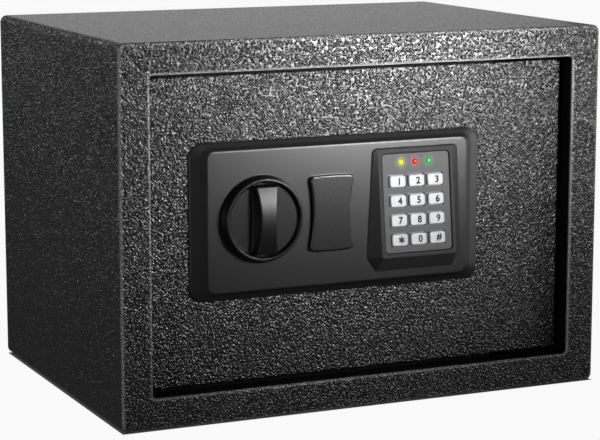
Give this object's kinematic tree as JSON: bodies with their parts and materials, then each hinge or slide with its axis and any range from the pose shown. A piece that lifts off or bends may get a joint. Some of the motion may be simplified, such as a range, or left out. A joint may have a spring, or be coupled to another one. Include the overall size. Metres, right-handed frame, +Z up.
{
  "type": "electronic safe",
  "caption": "Small black steel box safe with a recessed hinged door, a turning bolt knob, a tilted digital keypad and an override lock behind a small cover.",
  "frame": {"origin": "middle of the cabinet's underside, on the surface it stands on", "axes": "+X to the right as seen from the front, +Y into the safe towards its back, +Z up"},
  "size_m": [0.35, 0.2559, 0.25],
  "materials": {
    "cabinet_coat": "black powder coat with a coarse leathery texture",
    "jamb_coat": "smooth black powder coat",
    "felt": "charcoal needle felt",
    "panel_plastic": "satin black ABS",
    "knob_plastic": "glossy black ABS",
    "cover_plastic": "satin black ABS",
    "face_plastic": "grey satin ABS",
    "key_plastic": "glossy white ABS with grey printed digits",
    "yellow_lens": "lit yellow lens",
    "red_lens": "lit red lens",
    "green_lens": "lit green lens",
    "membrane_rubber": "black silicone rubber",
    "circuit_board": "green solder mask",
    "plated_steel": "zinc-plated steel",
    "lock_chrome": "nickel-plated lock",
    "bush_brass": "turned brass",
    "coil_tape": "yellow-brown winding tape",
    "cover_coat": "smooth black powder coat",
    "tray_plastic": "black ABS",
    "battery_sleeve": "plain dark printed sleeve",
    "reset_red": "red ABS",
    "wire_sleeve": "black sleeving"
  },
  "bodies": {
    "cabinet": {"cabinet_shell": "cabinet_coat", "back_panel": "cabinet_coat", "door_frame": "jamb_coat", "floor_mat": "felt"},
    "door": {"door_plate": "cabinet_coat", "hinge_knuckles": "jamb_coat", "hinge_pins": "jamb_coat", "control_panel": "panel_plastic", "panel_screws": "plated_steel", "spindle_bush": "bush_brass", "bolt_guide": "plated_steel", "guide_posts": "plated_steel", "solenoid_frame": "plated_steel", "solenoid_coil": "coil_tape", "solenoid_screws": "plated_steel", "solenoid_spring": "plated_steel", "key_barrel": "lock_chrome", "barrel_nut": "plated_steel", "keypad_housing": "panel_plastic", "keypad_face": "face_plastic", "keypad_membrane": "membrane_rubber", "keypad_board": "circuit_board", "led_yellow": "yellow_lens", "led_red": "red_lens", "led_green": "green_lens", "inner_cover": "cover_coat", "cover_screws": "plated_steel", "battery_holder": "tray_plastic", "batteries": "battery_sleeve", "reset_switch": "tray_plastic", "wire_loom": "wire_sleeve"},
    "knob": {"knob": "knob_plastic", "spindle": "plated_steel", "drive_cam": "plated_steel"},
    "bolts": {"bolt_carrier": "plated_steel", "lower_bolt": "plated_steel", "upper_bolt": "plated_steel"},
    "blocking_pin": {"solenoid_pin": "plated_steel"},
    "override_plug": {"key_plug": "lock_chrome", "lock_cam": "plated_steel"},
    "key_cover": {"key_cover": "cover_plastic"},
    "reset_button": {"reset_button": "reset_red"},
    "battery_lid": {"battery_lid": "tray_plastic"},
    "key_1": {"key_1": "key_plastic"},
    "key_2": {"key_2": "key_plastic"},
    "key_3": {"key_3": "key_plastic"},
    "key_4": {"key_4": "key_plastic"},
    "key_5": {"key_5": "key_plastic"},
    "key_6": {"key_6": "key_plastic"},
    "key_7": {"key_7": "key_plastic"},
    "key_8": {"key_8": "key_plastic"},
    "key_9": {"key_9": "key_plastic"},
    "key_star": {"key_star": "key_plastic"},
    "key_0": {"key_0": "key_plastic"},
    "key_hash": {"key_hash": "key_plastic"}
  },
  "joints": [
    {"name": "door_hinge", "type": "hinge", "parent": "cabinet", "child": "door", "pos_m": [0.138, -0.106, 0.125], "axis": [0, 0, 1], "range_deg": [0, 100]},
    {"name": "knob_turn", "type": "hinge", "parent": "door", "child": "knob", "pos_m": [-0.075, -0.12, 0.1318], "axis": [0, -1, 0], "range_deg": [0, 90]},
    {"name": "bolt_slide", "type": "slide", "parent": "door", "child": "bolts", "axis": [-1, 0, 0], "range_m": [0, 0.016]},
    {"name": "blocking_pin_slide", "type": "slide", "parent": "door", "child": "blocking_pin", "axis": [0, 0, 1], "range_m": [0, 0.012], "deforming": ["solenoid_spring"]},
    {"name": "override_turn", "type": "hinge", "parent": "door", "child": "override_plug", "pos_m": [-0.0257, -0.11, 0.1326], "axis": [0, -1, 0], "range_deg": [0, 90]},
    {"name": "key_cover_pull", "type": "slide", "parent": "door", "child": "key_cover", "axis": [0, -1, 0], "range_m": [0, 0.03]},
    {"name": "battery_lid_pull", "type": "slide", "parent": "door", "child": "battery_lid", "axis": [0, 1, 0], "range_m": [0, 0.025]},
    {"name": "reset_press", "type": "slide", "parent": "door", "child": "reset_button", "axis": [0, -1, 0], "range_m": [0, 0.001], "stiffness_N_per_m": 800, "springref_m": -0.0006},
    {"name": "key_1_press", "type": "slide", "parent": "door", "child": "key_1", "axis": [0, 0.9938, -0.1115], "range_m": [0, 0.0008], "stiffness_N_per_m": 800, "springref_m": -0.0006},
    {"name": "key_2_press", "type": "slide", "parent": "door", "child": "key_2", "axis": [0, 0.9938, -0.1115], "range_m": [0, 0.0008], "stiffness_N_per_m": 800, "springref_m": -0.0006},
    {"name": "key_3_press", "type": "slide", "parent": "door", "child": "key_3", "axis": [0, 0.9938, -0.1115], "range_m": [0, 0.0008], "stiffness_N_per_m": 800, "springref_m": -0.0006},
    {"name": "key_4_press", "type": "slide", "parent": "door", "child": "key_4", "axis": [0, 0.9938, -0.1115], "range_m": [0, 0.0008], "stiffness_N_per_m": 800, "springref_m": -0.0006},
    {"name": "key_5_press", "type": "slide", "parent": "door", "child": "key_5", "axis": [0, 0.9938, -0.1115], "range_m": [0, 0.0008], "stiffness_N_per_m": 800, "springref_m": -0.0006},
    {"name": "key_6_press", "type": "slide", "parent": "door", "child": "key_6", "axis": [0, 0.9938, -0.1115], "range_m": [0, 0.0008], "stiffness_N_per_m": 800, "springref_m": -0.0006},
    {"name": "key_7_press", "type": "slide", "parent": "door", "child": "key_7", "axis": [0, 0.9938, -0.1115], "range_m": [0, 0.0008], "stiffness_N_per_m": 800, "springref_m": -0.0006},
    {"name": "key_8_press", "type": "slide", "parent": "door", "child": "key_8", "axis": [0, 0.9938, -0.1115], "range_m": [0, 0.0008], "stiffness_N_per_m": 800, "springref_m": -0.0006},
    {"name": "key_9_press", "type": "slide", "parent": "door", "child": "key_9", "axis": [0, 0.9938, -0.1115], "range_m": [0, 0.0008], "stiffness_N_per_m": 800, "springref_m": -0.0006},
    {"name": "key_star_press", "type": "slide", "parent": "door", "child": "key_star", "axis": [0, 0.9938, -0.1115], "range_m": [0, 0.0008], "stiffness_N_per_m": 800, "springref_m": -0.0006},
    {"name": "key_0_press", "type": "slide", "parent": "door", "child": "key_0", "axis": [0, 0.9938, -0.1115], "range_m": [0, 0.0008], "stiffness_N_per_m": 800, "springref_m": -0.0006},
    {"name": "key_hash_press", "type": "slide", "parent": "door", "child": "key_hash", "axis": [0, 0.9938, -0.1115], "range_m": [0, 0.0008], "stiffness_N_per_m": 800, "springref_m": -0.0006}
  ],
  "couplings": [
    {"joint": "knob_turn", "follows": "bolt_slide", "rad_per_m": 98.175},
    {"joint": "blocking_pin_slide", "follows": "bolt_slide", "ratio": 0.75}
  ]
}
